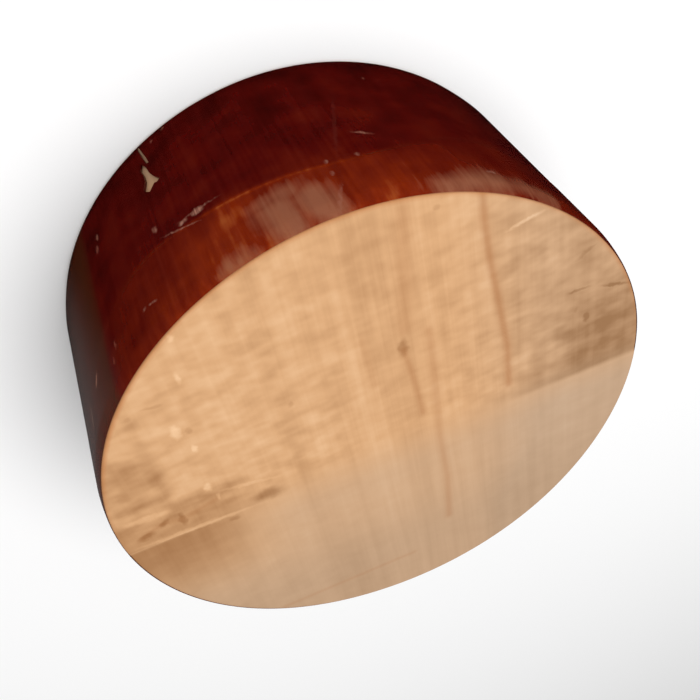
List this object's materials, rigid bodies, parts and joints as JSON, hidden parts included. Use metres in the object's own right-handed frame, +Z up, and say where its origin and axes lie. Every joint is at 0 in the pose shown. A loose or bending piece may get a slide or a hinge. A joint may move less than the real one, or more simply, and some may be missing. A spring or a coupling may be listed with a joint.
{
  "type": "linden wood slice",
  "caption": "Thick round slice of linden with bare sawn faces and a glossy red-brown coat of sealing wax round its rim, for turning, carving or display.",
  "frame": {"origin": "centre of the lower face, on the surface that the slice lies on", "axes": "+Z up through the thickness, towards the face that the picture shows; grain along Y; saw marks along X"},
  "size_m": [0.2204, 0.2208, 0.1015],
  "materials": {
    "linden_wood": "bare, straight from the saw, with faint cross marks",
    "sealing_wax": "glossy red-brown wax with runs, scuffs and a flaked patch"
  },
  "bodies": {
    "root": {"wood_disc": "linden_wood", "wax_coat": "sealing_wax"}
  },
  "joints": []
}
